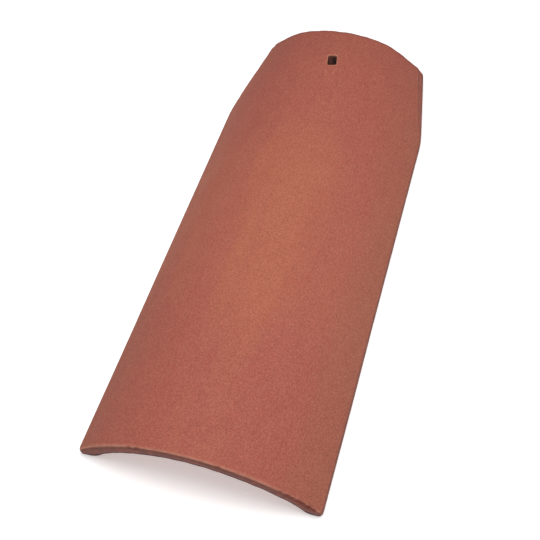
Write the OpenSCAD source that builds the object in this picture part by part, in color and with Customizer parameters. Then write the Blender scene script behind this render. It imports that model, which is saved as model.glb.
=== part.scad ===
// Curved clay roof tile: one fired plate, arched across its width, that lies on
// its two long edges. The tail is the wide end. At the head both corners are
// cut back, and a square nail hole goes through the crown.
//
// X runs across the tile, +Y from the tail to the head, and +Z is up. The origin
// is on the floor, at the centre of the tile's length and width.

/* [Tile] */
// Length from tail to head
tile_length = 480; // [360:5:700]
// Width across the long edges at the tail
tail_width = 210; // [190:1:280]
// Width across the long edges where the head corners begin
shoulder_width = 200; // [175:1:260]
// Height of the crown above the floor
crown_height = 57; // [45:1:75]
// Thickness of the arched plate
plate_thickness = 13; // [8:0.5:16]

/* [Long edges] */
// Height of the upright outer side of a long edge
side_height = 8; // [6:0.5:12]
// Width of the flat foot under a long edge
foot_width = 13.5; // [10:0.5:20]
// Rounding of the foot's two lower corners
foot_round = 2; // [0.5:0.5:3]

/* [Head] */
// Length along the tile of each cut-back corner
corner_length = 83; // [50:1:140]
// Width of the head at floor level, between the cut-back corners
head_width = 168; // [120:1:172]
// Depth of the bevel on the upper edge of a cut-back corner
bevel_depth = 5; // [1:0.5:6]
// Lean of that bevel, inward from upright
bevel_lean = 26; // [10:1:40]

/* [Nail hole] */
// Side of the square nail hole
hole_size = 9; // [5:0.5:14]
// Distance from the head edge to the centre of the hole
hole_inset = 42; // [20:1:80]

/* [Hidden] */

// How far a cutting shape runs past the faces it cuts
past = 20;

tail_y = -tile_length / 2;
head_y = tile_length / 2;
shoulder_y = head_y - corner_length;

// Narrowing of each side, for each millimetre along the tile
side_slope = (tail_width - shoulder_width) / 2 / (tile_length - corner_length);
// Angle of a long edge from the tile's length
side_angle = atan(side_slope);

// Half of the width between the long edges at a place along the tile
function half_width(y) = tail_width / 2 - side_slope * (y - tail_y);

// The outside is an arc from the top of one upright side over the crown to the
// other. Its radius changes along the tile, so the outside is a cone.
arc_rise = crown_height - side_height;
function outer_radius(y) = (half_width(y) ^ 2 + arc_rise ^ 2) / 2 / arc_rise;
start_y = tail_y - past;
end_y = head_y + past;
start_radius = outer_radius(start_y);
end_radius = outer_radius(end_y);
axis_tilt = atan((start_radius - end_radius) / (end_y - start_y));
axis_length = (end_y - start_y) / cos(axis_tilt);

// Height of the outside at a place on the tile
function outer_height(x, y) = crown_height - outer_radius(y) + sqrt(outer_radius(y) ^ 2 - x ^ 2);

// Length, turn and climb of the upper edge of a cut-back corner
corner_turn = atan((shoulder_width - head_width) / 2 / corner_length);
corner_run = corner_length / cos(corner_turn);
corner_climb = atan((outer_height(head_width / 2, head_y) - side_height) / corner_run);

// The cone under the crown that lies an inset below the outside. Its axis is
// tilted so that the crown is level.
module plate_cone(inset) {
    translate([0, start_y, crown_height - start_radius])
        rotate([axis_tilt - 90, 0, 0])
            cylinder(
                h = axis_length,
                r1 = start_radius / cos(axis_tilt) - inset,
                r2 = end_radius / cos(axis_tilt) - inset,
                $fn = 180
            );
}

// The floor between the long edges, narrowed by an inset on each side
module floor_strip(inset, from_y, to_y) {
    polygon([
        [inset - half_width(from_y), from_y],
        [half_width(from_y) - inset, from_y],
        [half_width(to_y) - inset, to_y],
        [inset - half_width(to_y), to_y]
    ]);
}

// The tile before anything is cut out of it
module blank() {
    intersection() {
        plate_cone(0);
        linear_extrude(crown_height + past)
            floor_strip(0, tail_y, head_y);
    }
}

// The hollow under the arch, which stops at the inner sides of the feet
module hollow() {
    intersection() {
        plate_cone(plate_thickness);
        translate([0, 0, -past])
            linear_extrude(crown_height + 2 * past)
                floor_strip(foot_width, start_y, end_y);
    }
}

// What rounds off a lower corner of the right-hand foot. The corner lies inset
// from the long edge, and side is the way from it into the foot.
module foot_corner_cut(inset, side) {
    translate([half_width(start_y) - inset, start_y, 0])
        rotate([90, 0, side_angle])
            translate([0, 0, -axis_length])
                linear_extrude(axis_length)
                    difference() {
                        translate([side * foot_round / 2, foot_round / 2])
                            square(foot_round, center = true);
                        translate([side * foot_round, foot_round])
                            circle(foot_round, $fn = 48);
                    }
}

// What lies outside a plane that stands on the floor line of the right-hand head
// corner, lifted and turned about that line's near end
module corner_half_space(lift, climb, lean) {
    translate([shoulder_width / 2, shoulder_y, lift])
        rotate([climb, 0, corner_turn])
            rotate([0, -lean, 0])
                translate([0, -corner_run, -tail_width])
                    cube([tail_width, 3 * corner_run, 2 * tail_width]);
}

// The square nail hole through the crown
module nail_hole() {
    translate([0, head_y - hole_inset, crown_height])
        cube([hole_size, hole_size, 4 * plate_thickness], center = true);
}

module tile() {
    color([0.64, 0.37, 0.31])
        difference() {
            blank();
            hollow();
            nail_hole();
            for (turn = [0, 1])
                mirror([turn, 0, 0]) {
                    foot_corner_cut(0, -1);
                    foot_corner_cut(foot_width, 1);
                    corner_half_space(0, 0, 0);
                    corner_half_space(side_height - bevel_depth, corner_climb, bevel_lean);
                }
        }
}

tile();
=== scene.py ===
import math
import random

import bpy
import numpy as np
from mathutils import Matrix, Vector, noise


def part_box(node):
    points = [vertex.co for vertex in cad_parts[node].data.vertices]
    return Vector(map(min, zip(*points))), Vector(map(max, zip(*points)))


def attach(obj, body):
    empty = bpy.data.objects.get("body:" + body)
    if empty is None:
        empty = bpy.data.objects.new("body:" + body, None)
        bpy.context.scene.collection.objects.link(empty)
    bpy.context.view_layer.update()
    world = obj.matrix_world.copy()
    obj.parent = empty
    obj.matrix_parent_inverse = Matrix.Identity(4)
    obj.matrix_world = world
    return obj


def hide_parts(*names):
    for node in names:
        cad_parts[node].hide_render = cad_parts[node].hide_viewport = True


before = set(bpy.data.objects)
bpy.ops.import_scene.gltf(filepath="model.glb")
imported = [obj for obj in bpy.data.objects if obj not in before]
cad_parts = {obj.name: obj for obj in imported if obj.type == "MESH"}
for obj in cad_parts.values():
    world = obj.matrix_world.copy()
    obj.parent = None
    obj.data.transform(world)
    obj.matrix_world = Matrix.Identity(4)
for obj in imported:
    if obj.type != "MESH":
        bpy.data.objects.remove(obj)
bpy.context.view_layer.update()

# A curved clay roof tile, arched across its width, that lies on its two long
# edges. X is across, +Y runs from the tail to the head and +Z is up. Sizes are in
# millimetres unless a comment says otherwise; MM turns them into metres.
MM = 0.001

# ---------------------------------------------------------------- sizes

box_low, box_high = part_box("tile")
TAIL_Y, HEAD_Y = box_low.y / MM, box_high.y / MM
TAIL_HALF = box_high.x / MM      # half of the width at the tail
CROWN = box_high.z / MM          # height of the crown
PLATE = 13.0                     # thickness of the arched plate
TAIL_RADIUS = 137.0              # radius of the outside at each end
HEAD_RADIUS = 121.4
LEFT, RIGHT = -1, 1

# The head's cut-back corners: their length, and half of the tile's width on each
# side where they begin and at the head
CORNER_LENGTH = 83.0
SHOULDER_Y = HEAD_Y - CORNER_LENGTH
SHOULDER_HALF = {LEFT: 102.0, RIGHT: 99.6}
HEAD_HALF = {LEFT: 81.2, RIGHT: 84.2}
SHOULDER_ROUND = 1.6             # softness of the bend where a corner begins

# How far the arch sags at the head's corners, and where the sag grows: from the
# middle outwards, and along the tile
SAG = {LEFT: 4.4, RIGHT: 5.4}
SAG_ACROSS = (42.0, 77.0)
SAG_ALONG = (SHOULDER_Y - 10.0, HEAD_Y)

# The upper part of the outer side: how far in or down each point lies along a
# straight edge, where a cut-back corner begins, and where it ends
EDGE_IN = (1.0, 3.2, 5.6)        # the arch's edge, in from the side
LEDGE_IN = (0.1, 2.4, 4.7)       # the foot of the bevel, in from the side
LEDGE_DOWN = (1.4, 2.0, 2.8)     # the foot of the bevel, below the arch's edge
LIP_DOWN = (1.0, 2.2, 4.2)       # the ledge's outer lip, below the foot of the bevel
LEDGE_START = (SHOULDER_Y - 4.0, SHOULDER_Y + 26.0)      # where the ledge sets in

# The lower part of the outer side: the height of its lowest point above the
# foot, which is at most a share of the lip's, and the next point's share
LOW_POINT, LOW_POINT_SHARE = 2.6, 0.45
MIDDLE_POINT_SHARE = 0.7

# Each foot: its width, the width of the slope from it up to the hollow, and
# where the slope's middle lies, as a share of its width and of its height
FOOT = {LEFT: (6.5, 17.5, 0.56, 0.25), RIGHT: (13.0, 5.5, 0.5, 0.5)}
FOOT_LEAST = 3.5                 # the least width of a foot
FOOT_FADE = (216.0, 236.0)       # where a foot dies out towards the head

# Rounding of the tail's corners, seen from above: its reach along the tile, and
# its depth as a share of that
TAIL_ROUND = {LEFT: 1.8, RIGHT: 3.5}
TAIL_ROUND_DEPTH = 0.6

# The nail hole: its centre, half of its width and length, the reach of its
# rounded corners, the width of its rim, how far it was punched out of square,
# how far it narrows by the underside, and how far round it the clay follows
HOLE_X, HOLE_Y = -1.8, HEAD_Y - 41.8
HOLE_HALF_X, HOLE_HALF_Y = 4.4, 6.6
HOLE_ROUND = 3.2
HOLE_RIM = 1.2
HOLE_TURN = math.radians(11.0)
HOLE_TAPER = 0.24
HOLE_PULL = (8.0, 24.0)

# The mesh before it is subdivided. Columns run along the tile, rows across it,
# and layers lie between the underside and the outside.
ARC_COLUMNS = 9                  # columns between the hole's and the foot's
ARC_MARGIN = 2.2                 # from the last of them to the foot's slope
EDGE_MARGIN = 1.8                # from the last column on top to the arch's edge
FOOT_SHARES = (0.0, 0.16, 0.5, 0.8, 1.0)         # columns across a foot
LAYER_SHARES = (0.0, 0.12, 0.4, 0.66, 0.8, 1.0)  # layers through the plate
LIP_LAYER = 3                    # the layer of the ledge's outer lip
HOLE_COLUMN = 2                  # the column on the hole's side walls
TAIL_ROWS = (0.0, 2.6, 6.0)      # rows by the tail, from it
ROW_STEP = 9.2                   # between the even rows that follow
STEPS_END = 14.0                 # about how far before the corners those end
SHOULDER_ROWS = (-5.0, 1.0, 7.0, 14.0, 21.0, 28.0)       # from the corners' start
HOLE_ROWS = (0.0, 10.5, 17.5, 25.0)              # from the hole's centre
HEAD_ROWS = (9.0, 4.5, 1.4, 0.0)                 # back from the head
SUBDIVISIONS = 2

# Lumps of the fired surface: height, size across, along and up, and offset
LUMPS = (
    (0.30, (70, 110, 70), 3.1),
    (0.07, (11, 90, 16), 17.7),
    (0.05, (6.5, 7.5, 6.5), 41.3),
    (0.03, (2.8, 3.0, 2.8), 77.9),
)
# Wear of the arrises: depth, lump size, offset, and how common it is, then how
# strong the sides' arrises are beside the others
WEAR_DEPTH, WEAR_SIZE, WEAR_OFFSET, WEAR_BIAS = 0.6, (8, 8, 8), 91.0, 0.2
SIDE_ARRIS = 0.5

# Chips under the upper edge of the tail: place across, radius and depth
CHIPS = (
    (98.0, 3.4, 1.0), (94.0, 4.4, 1.7), (89.5, 3.6, 1.3), (86.0, 4.2, 1.5),
    (82.0, 3.2, 1.0), (78.0, 3.6, 1.1), (72.5, 2.6, 0.6), (24.0, 3.0, 0.6),
    (-44.0, 3.4, 0.7), (-51.0, 2.8, 0.6),
)
CHIP_DOWN = 0.8                  # a chip's depth below the edge, in its radii
FULL_BREAK = 0.7                 # depth at which a chip fully bares fresh clay

# Two short scratches on the tail's side of the nail hole, each a line of small
# dents: start (along from the hole) and step, then radius and depth
SCRATCHES = (
    ((-5.0, -15.5), (0.9, -1.9), 1.9, 0.35),
    ((4.6, -13.5), (-0.2, -1.5), 1.7, 0.25),
)
SCRATCH_DENTS = 4
SCRATCH_PALE = 0.45              # how pale a scratch is, beside a worn arris

# Small pits all over the outside
PIT_COUNT, PIT_SEED = 60, 7
PIT_MARGIN = 10.0                # bare length at the tail and at the head
PIT_SPREAD = 0.85                # share of the width they lie in
PIT_RADIUS, PIT_DEPTH = (1.2, 2.4), (0.08, 0.3)
PIT_BAND = 10.0                  # length of the bands that pits are sorted into


def smoothstep(start, end, value):
    """0 before start, 1 after end, and smooth between them."""
    t = min(1.0, max(0.0, (value - start) / (end - start)))
    return t * t * (3 - 2 * t)


def mix(a, b, t):
    return a + (b - a) * t


def soft_min(a, b, radius):
    """The smaller of a and b, rounded off where they cross."""
    h = max(radius - abs(a - b), 0.0) / radius
    return min(a, b) - h * h * radius / 4


# ---------------------------------------------------------------- sections

def half_width(y, side):
    """Half of the width at the floor, before the head corners are cut back."""
    slope = (TAIL_HALF - SHOULDER_HALF[side]) / (SHOULDER_Y - TAIL_Y)
    return TAIL_HALF - slope * (y - TAIL_Y)


def outer_radius(y):
    return mix(TAIL_RADIUS, HEAD_RADIUS, (y - TAIL_Y) / (HEAD_Y - TAIL_Y))


def sag(x, y):
    """How far the arch hangs below its arc, beside the cut-back corners."""
    side = RIGHT if x > 0 else LEFT
    return SAG[side] * smoothstep(*SAG_ACROSS, abs(x)) * smoothstep(*SAG_ALONG, y)


def outer_z(x, y):
    r = outer_radius(y)
    return CROWN - r + math.sqrt(r * r - x * x) - sag(x, y)


def inner_z(x, y):
    r = outer_radius(y)
    return CROWN - r + math.sqrt((r - PLATE) ** 2 - x * x) - sag(x, y)


def foot_half(y, side):
    """Half of the width at the floor, with the head corners cut back and the
    tail's corners rounded."""
    shoulder, head = SHOULDER_HALF[side], HEAD_HALF[side]
    cut = shoulder - (shoulder - head) * (y - SHOULDER_Y) / CORNER_LENGTH
    half = soft_min(half_width(y, side), cut, SHOULDER_ROUND)
    reach = TAIL_ROUND[side]
    near = max(0.0, 1 - (y - TAIL_Y) / reach)
    return half - reach * (1 - math.sqrt(1 - near * near)) * TAIL_ROUND_DEPTH


def foot_height(x, y):
    """Height of a foot's underside: the floor, but towards the head it rises to
    the underside of the arch."""
    return max(0.0, inner_z(x, y)) * smoothstep(*FOOT_FADE, y)


def edge_size(sizes, y):
    """A size of the outer side's upper part, at a place along the tile."""
    straight, corner_start, corner_end = sizes
    along = max(0.0, (y - SHOULDER_Y) / CORNER_LENGTH)
    return mix(straight, mix(corner_start, corner_end, along), smoothstep(*LEDGE_START, y))


def side_points(y, side):
    """The outer side from the floor to the arch's edge, as (x, z) points. Along
    a cut-back corner it has a narrow ledge under a steep bevel, and along a
    straight edge only a soft arris."""
    side_x = foot_half(y, side)
    edge_x = side_x - edge_size(EDGE_IN, y)
    edge_z = outer_z(side * edge_x, y)
    ledge_z = edge_z - edge_size(LEDGE_DOWN, y)
    lip_z = ledge_z - edge_size(LIP_DOWN, y)
    foot_z = foot_height(side * side_x, y)
    return [
        (side_x, foot_z),
        (side_x, foot_z + min(LOW_POINT, LOW_POINT_SHARE * (lip_z - foot_z))),
        (side_x, mix(foot_z, lip_z, MIDDLE_POINT_SHARE)),
        (side_x, lip_z),
        (side_x - edge_size(LEDGE_IN, y), ledge_z),
        (edge_x, edge_z),
    ]


def hole_columns(side):
    edge = HOLE_HALF_X + side * HOLE_X
    return [0.0, edge - HOLE_ROUND, edge, edge + HOLE_RIM]


def bottom_points(y, side):
    """The underside from the middle out to one long edge, as (x, z) points."""
    foot, run, share_x, share_z = FOOT[side]
    side_x = foot_half(y, side)
    foot_x = min(half_width(y, side) - foot, side_x - FOOT_LEAST)
    arc_x = foot_x - run
    xs = hole_columns(side)
    first = xs[-1]
    for k in range(1, ARC_COLUMNS + 1):
        xs.append(mix(first, arc_x - ARC_MARGIN, k / ARC_COLUMNS))
    points = [(x, inner_z(side * x, y)) for x in xs]
    arc_z = inner_z(side * arc_x, y)
    points.append((arc_x, arc_z))
    foot_z = foot_height(side * foot_x, y)
    points.append((foot_x - share_x * run, mix(foot_z, arc_z, share_z)))
    for share in FOOT_SHARES:
        x = mix(foot_x, side_x, share)
        points.append((x, foot_height(side * x, y)))
    return points


def top_points(y, side, count):
    """The outside from the middle out to the arch's edge, as (x, z) points."""
    edge_x = side_points(y, side)[-1][0]
    xs = hole_columns(side)
    first = len(xs) - 1
    last = count - 2
    for k in range(first + 1, last + 1):
        xs.append(mix(xs[first], edge_x - EDGE_MARGIN, (k - first) / (last - first)))
    xs.append(edge_x)
    return [(x, outer_z(side * x, y)) for x in xs]


def row_places():
    """Places along the tile where the mesh has a row."""
    ys = [TAIL_Y + d for d in TAIL_ROWS]
    y = ys[-1]
    while y < SHOULDER_Y - STEPS_END:
        y += ROW_STEP
        ys.append(y)
    ys += [SHOULDER_Y + d for d in SHOULDER_ROWS]
    for reach in (HOLE_HALF_Y, HOLE_HALF_Y + HOLE_RIM, HOLE_HALF_Y - HOLE_ROUND):
        ys += [HOLE_Y - reach, HOLE_Y + reach]
    ys += [HOLE_Y + d for d in HOLE_ROWS]
    ys += [HEAD_Y - d for d in HEAD_ROWS]
    return sorted(ys)


# ---------------------------------------------------------------- the body

def shape_near_hole(x, y, z):
    """Turns a point about the nail hole and draws it in towards the underside,
    less and less away from the hole."""
    dx, dy = x - HOLE_X, y - HOLE_Y
    near = 1 - smoothstep(*HOLE_PULL, math.hypot(dx, dy))
    turn = HOLE_TURN * near
    size = 1 - HOLE_TAPER * near * smoothstep(0.0, PLATE, CROWN - z)
    c, s = size * math.cos(turn), size * math.sin(turn)
    return (HOLE_X + c * dx - s * dy, HOLE_Y + s * dx + c * dy, z)


def grid_points(ys):
    """Every point of the mesh's grid by column, row and layer, and the number of
    the outermost column."""
    grid = {}
    for j, y in enumerate(ys):
        for side in (LEFT, RIGHT):
            under = bottom_points(y, side)
            over = top_points(y, side, len(under))
            outer = side_points(y, side)
            edge = len(under) - 1
            for i in range(edge + 1):
                for k, share in enumerate(LAYER_SHARES):
                    if i == edge:
                        x, z = outer[k]
                    else:
                        x = mix(under[i][0], over[i][0], share)
                        z = mix(under[i][1], over[i][1], share)
                    grid[side * i, j, k] = shape_near_hole(side * x, y, z)
    return grid, edge


def nearest_row(ys, y):
    return min(range(len(ys)), key=lambda j: abs(ys[j] - y))


class Cage:
    """The coarse mesh: only the surface of the grid, with the nail hole left out.
    Its masks are the arrises and the share of the way up the plate."""

    def __init__(self):
        ys = row_places()
        self.grid, self.edge = grid_points(ys)
        self.last = len(ys) - 1
        self.top = len(LAYER_SHARES) - 1
        self.hole_start = nearest_row(ys, HOLE_Y - HOLE_HALF_Y)
        self.hole_end = nearest_row(ys, HOLE_Y + HOLE_HALF_Y)
        self.index = {}
        self.points, self.faces = [], []
        self.masks = {"arris": [], "layer": []}
        self.add_skins()
        self.add_ends()
        self.add_hole()

    def arris(self, i, j, k):
        """1 on the arrises of the ends and the nail hole, and less on the sides'."""
        on_skin = k in (0, self.top)
        if j in (0, self.last) and (on_skin or abs(i) == self.edge):
            return 1.0
        on_wall_x = abs(i) == HOLE_COLUMN and self.hole_start <= j <= self.hole_end
        on_wall_y = abs(i) <= HOLE_COLUMN and j in (self.hole_start, self.hole_end)
        if on_skin and (on_wall_x or on_wall_y):
            return 1.0
        return SIDE_ARRIS if abs(i) == self.edge and k in (0, LIP_LAYER) else 0.0

    def vertex(self, key):
        """The number of the vertex at a grid point, which is made on first use."""
        if key not in self.index:
            self.index[key] = len(self.points)
            self.points.append(self.grid[key])
            self.masks["arris"].append(self.arris(*key))
            self.masks["layer"].append(LAYER_SHARES[key[2]])
        return self.index[key]

    def face(self, *keys):
        self.faces.append([self.vertex(key) for key in keys])

    def in_hole(self, i, j):
        return -HOLE_COLUMN <= i < HOLE_COLUMN and self.hole_start <= j < self.hole_end

    def add_skins(self):
        """The outside, the underside and the two outer sides."""
        a, b, top = -self.edge, self.edge, self.top
        for j in range(self.last):
            for i in range(a, b):
                if not self.in_hole(i, j):
                    self.face((i, j, top), (i + 1, j, top), (i + 1, j + 1, top), (i, j + 1, top))
                    self.face((i, j, 0), (i, j + 1, 0), (i + 1, j + 1, 0), (i + 1, j, 0))
            for k in range(top):
                self.face((b, j, k), (b, j + 1, k), (b, j + 1, k + 1), (b, j, k + 1))
                self.face((a, j, k), (a, j, k + 1), (a, j + 1, k + 1), (a, j + 1, k))

    def add_ends(self):
        """The end faces at the tail and the head."""
        a, b = 0, self.last
        for i in range(-self.edge, self.edge):
            for k in range(self.top):
                self.face((i, a, k), (i + 1, a, k), (i + 1, a, k + 1), (i, a, k + 1))
                self.face((i, b, k), (i, b, k + 1), (i + 1, b, k + 1), (i + 1, b, k))

    def add_hole(self):
        """The four walls of the nail hole."""
        for k in range(self.top):
            a, b = self.hole_start, self.hole_end
            for i in range(-HOLE_COLUMN, HOLE_COLUMN):
                self.face((i, a, k), (i, a, k + 1), (i + 1, a, k + 1), (i + 1, a, k))
                self.face((i, b, k), (i + 1, b, k), (i + 1, b, k + 1), (i, b, k + 1))
            a, b = -HOLE_COLUMN, HOLE_COLUMN
            for j in range(self.hole_start, self.hole_end):
                self.face((a, j, k), (a, j + 1, k), (a, j + 1, k + 1), (a, j, k + 1))
                self.face((b, j, k), (b, j, k + 1), (b, j + 1, k + 1), (b, j + 1, k))


def smooth_mesh(cage):
    """The subdivided mesh of the cage, with its masks carried along."""
    coarse = bpy.data.meshes.new("tile_cage")
    coarse.from_pydata([[c * MM for c in p] for p in cage.points], [], cage.faces)
    for name, values in cage.masks.items():
        coarse.attributes.new(name, "FLOAT", "POINT").data.foreach_set("value", values)
    coarse.update()
    holder = bpy.data.objects.new("tile_cage", coarse)
    bpy.context.scene.collection.objects.link(holder)
    subdivide = holder.modifiers.new("subdivide", "SUBSURF")
    subdivide.levels = subdivide.render_levels = SUBDIVISIONS
    graph = bpy.context.evaluated_depsgraph_get()
    mesh = bpy.data.meshes.new_from_object(holder.evaluated_get(graph))
    bpy.data.objects.remove(holder)
    bpy.data.meshes.remove(coarse)
    return mesh


# ---------------------------------------------------------------- relief

def wave(p, size, offset):
    """Smooth noise from -1 to 1 with lumps of a size, which may differ by axis."""
    scaled = Vector((p[0] / size[0], p[1] / size[1], p[2] / size[2]))
    return noise.noise(scaled + Vector((offset, -offset, offset * 0.5)))


def relief(p, arris, pits):
    """How far the fired surface stands out at a point, how far the point is
    broken open by a chip, and how far it is scraped pale."""
    out = sum(height * wave(p, size, offset) for height, size, offset in LUMPS)
    out -= arris * WEAR_DEPTH * max(0.0, wave(p, WEAR_SIZE, WEAR_OFFSET) + WEAR_BIAS)
    broken = scraped = 0.0
    for centre, radius, depth, is_scrape in pits:
        distance = math.dist(p, centre)
        if distance < radius:
            share = (1 - (distance / radius) ** 2) ** 2
            out -= depth * share
            if is_scrape:
                scraped = max(scraped, share)
            else:
                broken = max(broken, min(1.0, share * depth / FULL_BREAK))
    return out, broken, scraped


def make_pits():
    """Chips, scratches and small pits: centre, radius, depth and whether it is a
    scrape."""
    pits = []
    for x, radius, depth in CHIPS:
        centre = (x, TAIL_Y, outer_z(x, TAIL_Y) - CHIP_DOWN * radius)
        pits.append((centre, radius, depth, False))
    for k in range(SCRATCH_DENTS):
        for start, step, radius, depth in SCRATCHES:
            centre = (start[0] + step[0] * k, HOLE_Y + start[1] + step[1] * k, CROWN)
            pits.append((centre, radius, depth, True))
    draw = random.Random(PIT_SEED)
    for _ in range(PIT_COUNT):
        y = draw.uniform(TAIL_Y + PIT_MARGIN, HEAD_Y - PIT_MARGIN)
        x = draw.uniform(-PIT_SPREAD, PIT_SPREAD) * foot_half(y, RIGHT)
        radius, depth = draw.uniform(*PIT_RADIUS), draw.uniform(*PIT_DEPTH)
        pits.append(((x, y, outer_z(x, y)), radius, depth, False))
    return pits


def read_values(items, name, width):
    """One value, or a row of values, for each item of a mesh."""
    values = np.empty(len(items) * width)
    items.foreach_get(name, values)
    return values.reshape(-1, width) if width > 1 else values


def work_surface(mesh):
    """Moves the vertices by the relief, then fits the mesh to the CAD box."""
    co = read_values(mesh.vertices, "co", 3) / MM
    normal = read_values(mesh.vertex_normals, "vector", 3)
    arris = read_values(mesh.attributes["arris"].data, "value", 1)
    bands = {}
    for pit in make_pits():
        bands.setdefault(int(pit[0][1] // PIT_BAND), []).append(pit)
    chips, scrapes = np.zeros(len(co)), np.zeros(len(co))
    for n, p in enumerate(co):
        band = int(p[1] // PIT_BAND)
        pits = bands.get(band - 1, []) + bands.get(band, []) + bands.get(band + 1, [])
        out, chips[n], scrapes[n] = relief(p, arris[n], pits)
        co[n] = p + normal[n] * out
    mesh.attributes.new("chips", "FLOAT", "POINT").data.foreach_set("value", chips)
    pale = np.maximum(arris, SCRATCH_PALE * scrapes)
    mesh.attributes["arris"].data.foreach_set("value", pale)
    low, high = np.array(box_low) / MM, np.array(box_high) / MM
    start, end = co.min(0), co.max(0)
    co = low + (co - start) * (high - low) / (end - start)
    mesh.vertices.foreach_set("co", (co * MM).ravel())
    mesh.update()


def make_tile():
    mesh = smooth_mesh(Cage())
    work_surface(mesh)
    mesh.shade_smooth()
    mesh.name = "tile_body"
    body = bpy.data.objects.new("tile_body", mesh)
    bpy.context.scene.collection.objects.link(body)
    return body


# ---------------------------------------------------------------- materials

# Colours, in linear light
CLAY = (0.400, 0.114, 0.065, 1)          # the orange middle
CLAY_RED = (0.358, 0.088, 0.065, 1)      # the bands beside it and the ends
CLAY_BROWN = (0.305, 0.108, 0.064, 1)    # the low sides
CLAY_TAN = (0.425, 0.158, 0.098, 1)      # the left side towards the head
CLAY_PALE = (0.600, 0.250, 0.155, 1)     # pale sand
CLAY_DARK = (0.130, 0.046, 0.036, 1)     # dark sand, the ends' brow, and painted shade on arrises and at the head
CLAY_END_SHADE = (0.175, 0.066, 0.050, 1)      # painted shade on the upper part of the ends and upright sides
CLAY_MAUVE_SHADE = (0.185, 0.086, 0.080, 1)    # their lower part: mauve, with painted shade
CLAY_DUST = (0.400, 0.165, 0.115, 1)     # the underside
CLAY_WORN_AND_HIGHLIGHT = (0.540, 0.240, 0.165, 1)     # worn arrises and scratches, partly a painted highlight where arrises face up
CLAY_BROKEN = (0.225, 0.050, 0.034, 1)   # fresh clay in the chips
CLAY_DEEP_SHADE = (0.035, 0.018, 0.014, 1)     # painted shade in the hole and along the lower edge of the ends
WHITE = (1, 1, 1, 1)
FLOOR_GREY = (0.88, 0.88, 0.88, 1)


class Nodes:
    """Short calls that add and join shader nodes."""

    # sockets of the Mix node that carry colours
    MIX_A, MIX_B, MIX_RESULT = 6, 7, 2

    def __init__(self, material):
        material.use_nodes = True
        self.tree = material.node_tree
        self.shader = self.tree.nodes["Principled BSDF"]

    def add(self, kind, settings=None, **inputs):
        node = self.tree.nodes.new(kind)
        for name, value in (settings or {}).items():
            setattr(node, name, value)
        for name, value in inputs.items():
            self.put(node.inputs[name.replace("_", " ")], value)
        return node

    def put(self, socket, value):
        if isinstance(value, bpy.types.NodeSocket):
            self.tree.links.new(value, socket)
        else:
            socket.default_value = value

    def math(self, operation, a, b=0.0, clamp=False):
        node = self.tree.nodes.new("ShaderNodeMath")
        node.operation, node.use_clamp = operation, clamp
        self.put(node.inputs[0], a)
        self.put(node.inputs[1], b)
        return node.outputs[0]

    def plus(self, a, b, clamp=False):
        return self.math("ADD", a, b, clamp)

    def times(self, a, b):
        return self.math("MULTIPLY", a, b)

    def size_of(self, value):
        return self.math("ABSOLUTE", value)

    def rest(self, share):
        """1 less a share."""
        return self.math("SUBTRACT", 1.0, share)

    def blend(self, share, a, b):
        """Colour a with a share of colour b over it."""
        node = self.tree.nodes.new("ShaderNodeMix")
        node.data_type, node.blend_type = "RGBA", "MIX"
        self.put(node.inputs["Factor"], share)
        self.put(node.inputs[self.MIX_A], a)
        self.put(node.inputs[self.MIX_B], b)
        return node.outputs[self.MIX_RESULT]

    def ramp(self, value, start, end):
        """0 before start, 1 after end, and smooth between them."""
        node = self.add("ShaderNodeMapRange", {"interpolation_type": "SMOOTHSTEP"}, Value=value)
        node.inputs["From Min"].default_value = start
        node.inputs["From Max"].default_value = end
        return node.outputs["Result"]

    def ramp_mm(self, value, start, end):
        """A ramp over a coordinate, whose ends are in millimetres."""
        return self.ramp(value, start * MM, end * MM)

    def scaled(self, vector, size):
        """The coordinates divided by a size in millimetres, one for each axis."""
        node = self.add("ShaderNodeVectorMath", {"operation": "MULTIPLY"})
        self.put(node.inputs[0], vector)
        node.inputs[1].default_value = [1 / (s * MM) for s in size]
        return node.outputs[0]

    def grain(self, vector, size, detail=3.0, roughness=0.55):
        """Noise from 0 to 1 with lumps of a size in millimetres."""
        node = self.add(
            "ShaderNodeTexNoise", Vector=self.scaled(vector, size),
            Scale=1.0, Detail=detail, Roughness=roughness,
        )
        return node.outputs["Fac"]

    def wander(self, vector, size, reach):
        """Soft noise about 0 that moves a boundary, with its reach in millimetres."""
        centred = self.math("SUBTRACT", self.grain(vector, size, 2.0), 0.5)
        return self.times(centred, reach * MM)

    def mask(self, name):
        return self.add("ShaderNodeAttribute", {"attribute_name": name}).outputs["Fac"]


class Surface:
    """Where a point of the tile is, which way it faces and its masks, as sockets."""

    def __init__(self, n):
        source = n.add("ShaderNodeTexCoord")
        self.place = source.outputs["Object"]
        split = n.add("ShaderNodeSeparateXYZ", Vector=self.place)
        self.x, self.y, self.z = split.outputs
        facing = n.add("ShaderNodeSeparateXYZ", Vector=source.outputs["Normal"])
        self.facing_x, self.facing_y, self.facing_z = facing.outputs
        self.arris, self.layer, self.chips = n.mask("arris"), n.mask("layer"), n.mask("chips")
        seen_from_above = n.add("ShaderNodeCombineXYZ", X=self.x, Y=self.y).outputs[0]
        from_hole = n.add("ShaderNodeVectorMath", {"operation": "DISTANCE"})
        n.put(from_hole.inputs[0], seen_from_above)
        from_hole.inputs[1].default_value = (HOLE_X * MM, HOLE_Y * MM, 0)
        self.from_hole = from_hole.outputs["Value"]


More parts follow.
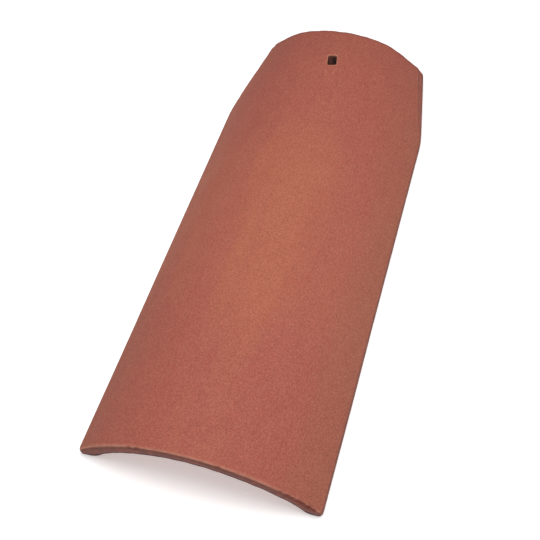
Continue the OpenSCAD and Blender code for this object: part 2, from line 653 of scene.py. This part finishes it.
def body_colour(n, at):
    """Redder bands beside the orange middle, browner sides and soft mottling."""
    across = n.size_of(at.x)
    band_x = n.plus(across, n.wander(at.place, (45, 120, 45), 50))
    bands = n.times(n.ramp_mm(band_x, 14, 46), 0.65)
    streaks = n.ramp(n.grain(at.place, (16, 170, 30), 2.0), 0.40, 0.66)
    bands = n.plus(bands, n.times(streaks, 0.22), clamp=True)
    from_middle = n.size_of(n.plus(at.y, n.wander(at.place, (80, 80, 80), 100)))
    bands = n.plus(bands, n.times(n.ramp_mm(from_middle, 50, 170), 0.75), clamp=True)
    colour = n.blend(bands, CLAY, CLAY_RED)

    side_x = n.plus(across, n.wander(at.place, (60, 90, 60), 45))
    upper_left = n.times(n.ramp_mm(at.y, -160, 20), n.rest(n.ramp_mm(at.x, -30, 30)))
    side_colour = n.blend(upper_left, CLAY_BROWN, CLAY_TAN)
    colour = n.blend(n.times(n.ramp_mm(side_x, 62, 106), 0.46), colour, side_colour)
    mottle = n.ramp(n.grain(at.place, (16, 20, 16), 4.0, 0.6), 0.3, 0.7)
    return n.blend(n.times(mottle, 0.06), colour, CLAY_PALE)


def add_sand(n, at, colour):
    """Sandy grain with a few pale and dark specks. Also gives the dark specks."""
    sand = n.ramp(n.grain(at.place, (1.5, 1.5, 1.5), 3.0, 0.75), 0.42, 0.62)
    colour = n.blend(n.times(sand, 0.30), colour, CLAY_DARK)
    flour = n.ramp(n.grain(at.place, (1.3, 1.35, 1.3), 3.0, 0.75), 0.45, 0.60)
    colour = n.blend(n.times(flour, 0.25), colour, CLAY_PALE)
    cells = n.add("ShaderNodeTexVoronoi", Vector=n.scaled(at.place, (2.6, 2.6, 2.6)), Scale=1.0)
    speck = n.rest(n.ramp(cells.outputs["Distance"], 0.05, 0.24))
    pick = n.add("ShaderNodeSeparateColor", Color=cells.outputs["Color"])
    pale = n.times(speck, n.ramp(pick.outputs[0], 0.78, 0.86))
    dark = n.times(speck, n.ramp(pick.outputs[1], 0.84, 0.90))
    colour = n.blend(n.times(pale, 0.5), colour, CLAY_PALE)
    return n.blend(n.times(dark, 0.5), colour, CLAY_DARK), dark


def add_ends(n, at, colour):
    """Cut ends and upright sides get painted shade, mauve towards the bottom, and
    the ends are lined with a dark brow and painted shade along the lower edge.
    The underside is dusty."""
    upright = n.math("MAXIMUM", n.size_of(at.facing_y), n.size_of(at.facing_x))
    blotch = n.ramp(n.grain(at.place, (6, 9, 3.0), 4.0, 0.65), 0.32, 0.62)
    cover = n.plus(0.45, n.times(blotch, 0.55))
    # painted shade on upright faces, with mauve towards the bottom
    end_shade_colour = n.blend(n.rest(n.ramp(at.layer, 0.30, 0.62)), CLAY_END_SHADE, CLAY_MAUVE_SHADE)
    colour = n.blend(n.times(n.ramp(upright, 0.74, 0.94), cover), colour, end_shade_colour)

    at_end = n.ramp(n.size_of(at.facing_y), 0.35, 0.70)
    brow = n.times(n.ramp(at.layer, 0.66, 0.76), n.rest(n.ramp(at.layer, 0.86, 0.97)))
    colour = n.blend(n.times(at_end, n.times(brow, 0.40)), colour, CLAY_DARK)
    # painted shade along the lower edge of the ends
    low_edge = n.rest(n.ramp(at.layer, 0.08, 0.32))
    colour = n.blend(n.times(at_end, n.times(low_edge, 0.80)), colour, CLAY_DEEP_SHADE)

    under = n.ramp(n.times(at.facing_z, -1.0), 0.15, 0.5)
    return n.blend(n.times(under, 0.5), colour, CLAY_DUST)


def add_wear_and_shade(n, at, colour):
    """Arrises that face up above the tail's end and round the nail hole are rubbed
    pale, partly a painted highlight; elsewhere they get painted shade. Chips show
    fresh clay, and painted shade darkens the head."""
    # arrises: rubbed pale and partly a painted highlight where they face up by the tail and the
    # hole, painted shade elsewhere
    near_tail = n.rest(n.ramp_mm(at.y, -234, -226))
    near_hole = n.rest(n.ramp_mm(at.from_hole, 30, 34))
    facing_up = n.ramp(at.facing_z, -0.1, 0.3)
    pale_edge = n.times(n.math("MAXIMUM", near_tail, near_hole), facing_up)
    edge_colour = n.blend(pale_edge, CLAY_DARK, CLAY_WORN_AND_HIGHLIGHT)
    patchy_edge = n.ramp(n.grain(at.place, (5, 5, 5), 3.0), 0.35, 0.6)
    wear_and_shade = n.times(at.arris, n.plus(0.45, n.times(patchy_edge, 0.35)))
    colour = n.blend(wear_and_shade, colour, edge_colour)

    # painted shade at the head end and, less, towards it
    at_head = n.times(n.ramp_mm(at.y, 234.5, 239.5), 0.26)
    by_head = n.times(n.ramp_mm(at.y, 185, 240), 0.09)
    colour = n.blend(n.plus(at_head, by_head), colour, CLAY_DARK)
    return n.blend(n.times(at.chips, 0.85), colour, CLAY_BROKEN)


def add_hole_shade(n, at, colour):
    """Painted shade in the nail hole, below its rim and least on its left wall."""
    # painted shade: the hole's walls darken below its rim
    inside = n.rest(n.ramp_mm(at.from_hole, 7.8, 9.0))
    deep = n.rest(n.ramp_mm(at.z, CROWN - 5.0, CROWN - 0.8))
    shade_share = n.plus(0.55, n.times(n.ramp_mm(at.x, -5.0, -1.2), 0.42))
    return n.blend(n.times(n.times(inside, deep), shade_share), colour, CLAY_DEEP_SHADE)


def add_bump(n, at, dark):
    """Sand, small lumps, faint drag lines along the tile, and pinholes."""
    height = n.times(n.grain(at.place, (0.9, 0.9, 0.9), 3.0, 0.65), 0.7)
    height = n.plus(height, n.times(n.grain(at.place, (3.2, 3.6, 3.2), 3.0), 0.6))
    height = n.plus(height, n.times(n.grain(at.place, (2.0, 45, 2.0), 2.0), 0.25))
    height = n.math("SUBTRACT", height, n.times(dark, 0.8))
    bump = n.add("ShaderNodeBump", Height=height, Strength=0.7, Distance=0.6 * MM)
    n.put(n.shader.inputs["Normal"], bump.outputs["Normal"])


def make_clay(name):
    material = bpy.data.materials.new(name)
    n = Nodes(material)
    at = Surface(n)
    colour, dark = add_sand(n, at, body_colour(n, at))
    for add_layer in (add_ends, add_wear_and_shade, add_hole_shade):
        colour = add_layer(n, at, colour)
    n.put(n.shader.inputs["Base Color"], colour)

    # dull, with slightly smoother patches
    rough = n.add("ShaderNodeMapRange", Value=n.grain(at.place, (7, 9, 7), 4.0, 0.6))
    rough.inputs["To Min"].default_value = 0.78
    rough.inputs["To Max"].default_value = 0.98
    n.put(n.shader.inputs["Roughness"], rough.outputs["Result"])
    n.shader.inputs["IOR"].default_value = 1.45
    n.shader.inputs["Specular IOR Level"].default_value = 0.25
    add_bump(n, at, dark)
    return material


def make_floor_paint():
    """White paint that glows a little, so the floor stays pale in the shade."""
    material = bpy.data.materials.new("floor_paint")
    n = Nodes(material)
    n.shader.inputs["Base Color"].default_value = FLOOR_GREY
    n.shader.inputs["Emission Color"].default_value = WHITE
    n.shader.inputs["Emission Strength"].default_value = 0.35
    n.shader.inputs["Roughness"].default_value = 0.9
    n.shader.inputs["Specular IOR Level"].default_value = 0.1
    return material


# ---------------------------------------------------------------- studio

# Here places and sizes are in metres, powers in watts and angles in degrees
FLOOR_HALF = 6.0
LAMP_PLACE, LAMP_TARGET = (0.10, -0.09, 0.90), (0, 0, 0.03)
LAMP_SIZE, LAMP_POWER = 0.5, 6.6
SKY_STRENGTH = 0.38
CAMERA_PLACE = (0.19441, -0.47396, 0.72810)
CAMERA_TURN = (33.750, 4.613, 16.948)
CAMERA_LENS, CAMERA_SENSOR = 62.84, 36.0         # both in millimetres
CAMERA_CLIP = (0.02, 20.0)


def make_floor():
    mesh = bpy.data.meshes.new("floor")
    h = FLOOR_HALF
    corners = [(-h, -h, 0), (h, -h, 0), (h, h, 0), (-h, h, 0)]
    mesh.from_pydata(corners, [], [(0, 1, 2, 3)])
    sheet = bpy.data.objects.new("floor", mesh)
    sheet.data.materials.append(make_floor_paint())
    bpy.context.scene.collection.objects.link(sheet)
    return sheet


def light_studio():
    """One soft square lamp above the tile, under a white sky."""
    light = bpy.data.lights.new("soft_top", "AREA")
    light.size, light.energy = LAMP_SIZE, LAMP_POWER
    lamp = bpy.data.objects.new("soft_top", light)
    lamp.location = LAMP_PLACE
    aim = Vector(LAMP_TARGET) - Vector(LAMP_PLACE)
    lamp.rotation_euler = aim.to_track_quat("-Z", "Y").to_euler()
    bpy.context.scene.collection.objects.link(lamp)
    world = bpy.data.worlds.new("studio")
    world.use_nodes = True
    sky = world.node_tree.nodes["Background"]
    sky.inputs["Color"].default_value = WHITE
    sky.inputs["Strength"].default_value = SKY_STRENGTH
    bpy.context.scene.world = world


def make_camera():
    data = bpy.data.cameras.new("camera")
    data.lens, data.sensor_width = CAMERA_LENS, CAMERA_SENSOR
    data.clip_start, data.clip_end = CAMERA_CLIP
    camera = bpy.data.objects.new("camera", data)
    camera.location = CAMERA_PLACE
    camera.rotation_euler = [math.radians(angle) for angle in CAMERA_TURN]
    bpy.context.scene.collection.objects.link(camera)
    bpy.context.scene.camera = camera


# ---------------------------------------------------------------- the scene


bpy.context.scene.view_settings.view_transform = "Standard"
tile = make_tile()
tile.data.materials.append(make_clay("fired_clay"))
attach(tile, "root")
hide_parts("tile")
floor = make_floor()
light_studio()
make_camera()
